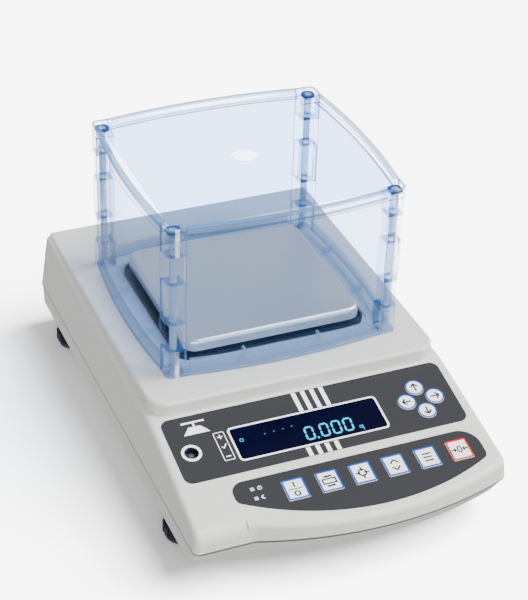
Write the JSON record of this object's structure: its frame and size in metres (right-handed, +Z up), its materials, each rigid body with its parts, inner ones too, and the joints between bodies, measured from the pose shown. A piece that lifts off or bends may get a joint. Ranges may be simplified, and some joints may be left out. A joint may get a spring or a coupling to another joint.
{
  "type": "analytical balance",
  "caption": "Laboratory balance with a square steel pan inside a lift-off bowed acrylic draught shield, a sloping display deck with keys, a bubble level and four screw feet.",
  "frame": {"origin": "on the bench, under the middle of the whole outline", "axes": "+Z up, +Y from the keys to the back, +X to the operator's right"},
  "size_m": [0.22, 0.3465, 0.1925],
  "materials": {
    "casing": "fine grained, satin",
    "film": "fine grained foil",
    "window": "dark tinted, clear",
    "tube_glass": "dark glass",
    "board": "green circuit board",
    "domes": "silicone",
    "lamps": "diffusing",
    "level_body": "dark blue",
    "vial": "clear",
    "white_trim": "smooth",
    "key_plastic": "smooth, coloured outline",
    "cell_metal": "machined",
    "screw_steel": "zinc plated",
    "components": "dark",
    "port_black": "moulded",
    "port_steel": "tinned",
    "tray_black": "moulded",
    "pan_steel": "satin rolled stainless",
    "carrier": "die cast",
    "post": "turned",
    "buffer_rubber": "soft",
    "acrylic": "clear, faint blue, polished",
    "pin": "translucent",
    "cushion": "dark blue, soft",
    "foot_rubber": "moulded",
    "foot_plastic": "moulded, very dark blue"
  },
  "bodies": {
    "housing": {"upper_housing": "casing", "lower_housing": "casing", "case_screws": "screw_steel", "display_film": "film", "keypad_film": "film", "display_window": "window", "display_tube": "tube_glass", "control_board": "board", "key_domes": "domes", "status_lamps": "lamps", "level_cup": "level_body", "level_vial": "vial", "level_bezel": "white_trim", "cell_base": "cell_metal", "load_cell": "cell_metal", "cell_screws": "screw_steel", "main_board": "board", "board_parts": "components", "power_inlet": "port_black", "data_port": "port_steel", "hook_cover": "port_black", "pan_tray": "tray_black", "overload_stops": "tray_black"},
    "pan_carrier": {"pan_support": "carrier", "pan_buffers": "buffer_rubber", "support_post": "post"},
    "pan": {"weighing_pan": "pan_steel"},
    "shield": {"shield_base": "acrylic", "front_panel": "acrylic", "back_panel": "acrylic", "left_panel": "acrylic", "right_panel": "acrylic", "corner_pins": "pin", "corner_cushions": "cushion"},
    "lid": {"shield_lid": "acrylic"},
    "on_off_key_cap": {"on_off_key": "key_plastic"},
    "print_key_cap": {"print_key": "key_plastic"},
    "adjust_key_cap": {"adjust_key": "key_plastic"},
    "select_key_cap": {"select_key": "key_plastic"},
    "function_key_cap": {"function_key": "key_plastic"},
    "tare_key_cap": {"tare_key": "key_plastic"},
    "up_key_cap": {"up_key": "key_plastic"},
    "right_key_cap": {"right_key": "key_plastic"},
    "down_key_cap": {"down_key": "key_plastic"},
    "left_key_cap": {"left_key": "key_plastic"},
    "pad_front_left": {"foot_pad_front_left": "foot_rubber"},
    "screw_front_left": {"foot_screw_front_left": "foot_plastic"},
    "pad_front_right": {"foot_pad_front_right": "foot_rubber"},
    "screw_front_right": {"foot_screw_front_right": "foot_plastic"},
    "pad_back_left": {"foot_pad_back_left": "foot_rubber"},
    "screw_back_left": {"foot_screw_back_left": "foot_plastic"},
    "pad_back_right": {"foot_pad_back_right": "foot_rubber"},
    "screw_back_right": {"foot_screw_back_right": "foot_plastic"}
  },
  "joints": [
    {"name": "pan_load", "type": "slide", "parent": "housing", "child": "pan_carrier", "axis": [0, 0, 1], "range_m": [-0.0005, 0], "stiffness_N_per_m": 12000, "springref_m": 0.0002},
    {"name": "pan_lift", "type": "slide", "parent": "pan_carrier", "child": "pan", "axis": [0, 0, 1], "range_m": [0, 0.06]},
    {"name": "shield_lift", "type": "slide", "parent": "housing", "child": "shield", "axis": [0, 0, 1], "range_m": [0, 0.06]},
    {"name": "lid_lift", "type": "slide", "parent": "shield", "child": "lid", "axis": [0, 0, 1], "range_m": [0, 0.04]},
    {"name": "on_off_key_press", "type": "slide", "parent": "housing", "child": "on_off_key_cap", "axis": [0, 0.2181, -0.9759], "range_m": [0, 0.0005], "stiffness_N_per_m": 300, "springref_m": -0.001},
    {"name": "print_key_press", "type": "slide", "parent": "housing", "child": "print_key_cap", "axis": [0, 0.2181, -0.9759], "range_m": [0, 0.0005], "stiffness_N_per_m": 300, "springref_m": -0.001},
    {"name": "adjust_key_press", "type": "slide", "parent": "housing", "child": "adjust_key_cap", "axis": [0, 0.2181, -0.9759], "range_m": [0, 0.0005], "stiffness_N_per_m": 300, "springref_m": -0.001},
    {"name": "select_key_press", "type": "slide", "parent": "housing", "child": "select_key_cap", "axis": [0, 0.2181, -0.9759], "range_m": [0, 0.0005], "stiffness_N_per_m": 300, "springref_m": -0.001},
    {"name": "function_key_press", "type": "slide", "parent": "housing", "child": "function_key_cap", "axis": [0, 0.2181, -0.9759], "range_m": [0, 0.0005], "stiffness_N_per_m": 300, "springref_m": -0.001},
    {"name": "tare_key_press", "type": "slide", "parent": "housing", "child": "tare_key_cap", "axis": [0, 0.2181, -0.9759], "range_m": [0, 0.0005], "stiffness_N_per_m": 300, "springref_m": -0.001},
    {"name": "up_key_press", "type": "slide", "parent": "housing", "child": "up_key_cap", "axis": [0, 0.2181, -0.9759], "range_m": [0, 0.0005], "stiffness_N_per_m": 300, "springref_m": -0.001},
    {"name": "right_key_press", "type": "slide", "parent": "housing", "child": "right_key_cap", "axis": [0, 0.2181, -0.9759], "range_m": [0, 0.0005], "stiffness_N_per_m": 300, "springref_m": -0.001},
    {"name": "down_key_press", "type": "slide", "parent": "housing", "child": "down_key_cap", "axis": [0, 0.2181, -0.9759], "range_m": [0, 0.0005], "stiffness_N_per_m": 300, "springref_m": -0.001},
    {"name": "left_key_press", "type": "slide", "parent": "housing", "child": "left_key_cap", "axis": [0, 0.2181, -0.9759], "range_m": [0, 0.0005], "stiffness_N_per_m": 300, "springref_m": -0.001},
    {"name": "height_front_left", "type": "slide", "parent": "housing", "child": "pad_front_left", "axis": [0, 0, 1], "range_m": [0, 0.005]},
    {"name": "turn_front_left", "type": "hinge", "parent": "pad_front_left", "child": "screw_front_left", "pos_m": [-0.0955, -0.098, 0.008], "axis": [0, 0, 1], "range_deg": [0, 1440]},
    {"name": "height_front_right", "type": "slide", "parent": "housing", "child": "pad_front_right", "axis": [0, 0, 1], "range_m": [0, 0.005]},
    {"name": "turn_front_right", "type": "hinge", "parent": "pad_front_right", "child": "screw_front_right", "pos_m": [0.0955, -0.098, 0.008], "axis": [0, 0, 1], "range_deg": [0, 1440]},
    {"name": "height_back_left", "type": "slide", "parent": "housing", "child": "pad_back_left", "axis": [0, 0, 1], "range_m": [0, 0.005]},
    {"name": "turn_back_left", "type": "hinge", "parent": "pad_back_left", "child": "screw_back_left", "pos_m": [-0.0955, 0.1368, 0.008], "axis": [0, 0, 1], "range_deg": [0, 1440]},
    {"name": "height_back_right", "type": "slide", "parent": "housing", "child": "pad_back_right", "axis": [0, 0, 1], "range_m": [0, 0.005]},
    {"name": "turn_back_right", "type": "hinge", "parent": "pad_back_right", "child": "screw_back_right", "pos_m": [0.0955, 0.1368, 0.008], "axis": [0, 0, 1], "range_deg": [0, 1440]}
  ],
  "couplings": [
    {"joint": "turn_front_left", "follows": "height_front_left", "rad_per_m": 5026.5},
    {"joint": "turn_front_right", "follows": "height_front_right", "rad_per_m": 5026.5},
    {"joint": "turn_back_left", "follows": "height_back_left", "rad_per_m": 5026.5},
    {"joint": "turn_back_right", "follows": "height_back_right", "rad_per_m": 5026.5}
  ]
}
